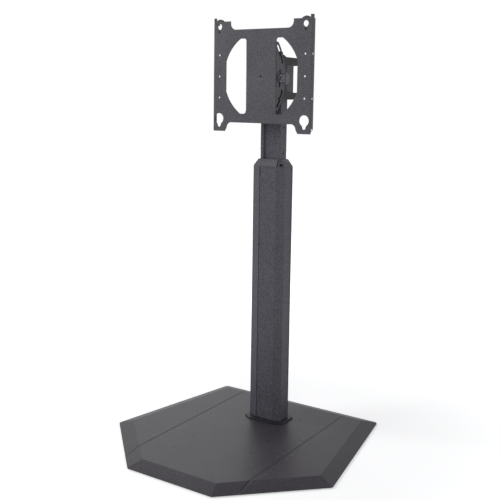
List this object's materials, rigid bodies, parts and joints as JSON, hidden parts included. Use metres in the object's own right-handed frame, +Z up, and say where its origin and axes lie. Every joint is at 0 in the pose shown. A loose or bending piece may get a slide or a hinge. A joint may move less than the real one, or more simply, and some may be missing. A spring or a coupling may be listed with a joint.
{
  "type": "portable display stand",
  "caption": "Portable floor stand for a flat display: folding hexagonal base, telescoping column and a tilting quick-hang head plate.",
  "frame": {"origin": "middle of the unfolded base's bounding box, on the floor", "axes": "+Z up, the screen side faces -Y, +X to the right of someone who looks at the screen side"},
  "size_m": [0.9056, 0.817, 1.503],
  "materials": {
    "powder_coat": "fine-textured charcoal powder coat",
    "dark_coat": "satin black powder coat",
    "zinc_steel": "zinc plated",
    "black_screw": "black oxide",
    "nylon": "self-coloured nylon",
    "moulded_plastic": "moulded, lightly textured",
    "foot_rubber": "matte rubber"
  },
  "bodies": {
    "base": {"base_center": "powder_coat", "rail_left": "powder_coat", "rail_right": "powder_coat", "rail_screws": "black_screw", "center_feet": "foot_rubber", "center_leaves_left": "zinc_steel", "center_leaves_right": "zinc_steel", "hinge_pins_left": "zinc_steel", "hinge_pins_right": "zinc_steel", "center_hinge_screws": "zinc_steel", "anchor_plate": "powder_coat", "mast_bolts": "zinc_steel", "foot_plate": "powder_coat", "lower_column": "powder_coat", "collar": "powder_coat", "collar_liner": "nylon"},
    "left_wing": {"left_wing": "powder_coat", "wing_rib_left": "powder_coat", "wing_feet_left": "foot_rubber", "wing_leaves_left": "zinc_steel", "wing_screws_left": "zinc_steel"},
    "right_wing": {"right_wing": "powder_coat", "wing_rib_right": "powder_coat", "wing_feet_right": "foot_rubber", "wing_leaves_right": "zinc_steel", "wing_screws_right": "zinc_steel"},
    "clamp_screw": {"collar_screws": "zinc_steel"},
    "mast": {"upper_column": "powder_coat", "mast_glide": "nylon", "column_cap": "moulded_plastic", "tilt_yoke": "dark_coat", "rear_clamp": "powder_coat", "clamp_bolts": "zinc_steel", "guide_pins": "zinc_steel", "pin_nuts": "zinc_steel", "pin_washers": "nylon", "lock_nut": "zinc_steel"},
    "head": {"head_plate": "powder_coat", "latch_rivets": "zinc_steel", "latch_springs": "zinc_steel"},
    "knob": {"tilt_knob": "moulded_plastic", "lock_stud": "zinc_steel", "lock_washer": "zinc_steel"},
    "latch_left": {"latch_left": "dark_coat"},
    "latch_right": {"latch_right": "dark_coat"}
  },
  "joints": [
    {"name": "left_wing_fold", "type": "hinge", "parent": "base", "child": "left_wing", "pos_m": [-0.23, 0, 0.0032], "axis": [0, -1, 0], "range_deg": [0, 180]},
    {"name": "right_wing_fold", "type": "hinge", "parent": "base", "child": "right_wing", "pos_m": [0.23, 0, 0.0032], "axis": [0, 1, 0], "range_deg": [0, 180]},
    {"name": "mast_slide", "type": "slide", "parent": "base", "child": "mast", "axis": [0, 0, 1], "range_m": [-0.07, 0.54]},
    {"name": "collar_clamp_turn", "type": "hinge", "parent": "base", "child": "clamp_screw", "pos_m": [0.046, 0.1592, 0.986], "axis": [1, 0, 0], "range_deg": [-360, 0]},
    {"name": "head_tilt", "type": "hinge", "parent": "mast", "child": "head", "pos_m": [0, -0.0083, 1.298], "axis": [1, 0, 0], "range_deg": [-11, 11]},
    {"name": "tilt_knob_turn", "type": "hinge", "parent": "mast", "child": "knob", "pos_m": [0.062, 0.12556, 1.29192], "axis": [1, 0, 0], "range_deg": [-360, 0]},
    {"name": "left_latch_turn", "type": "hinge", "parent": "head", "child": "latch_left", "pos_m": [-0.192, 0.1005, 1.482], "axis": [0, 1, 0], "range_deg": [0, 24], "stiffness_Nm_per_rad": 0.03, "springref_deg": -20.05},
    {"name": "right_latch_turn", "type": "hinge", "parent": "head", "child": "latch_right", "pos_m": [0.192, 0.1005, 1.482], "axis": [0, -1, 0], "range_deg": [0, 24], "stiffness_Nm_per_rad": 0.03, "springref_deg": -20.05}
  ]
}
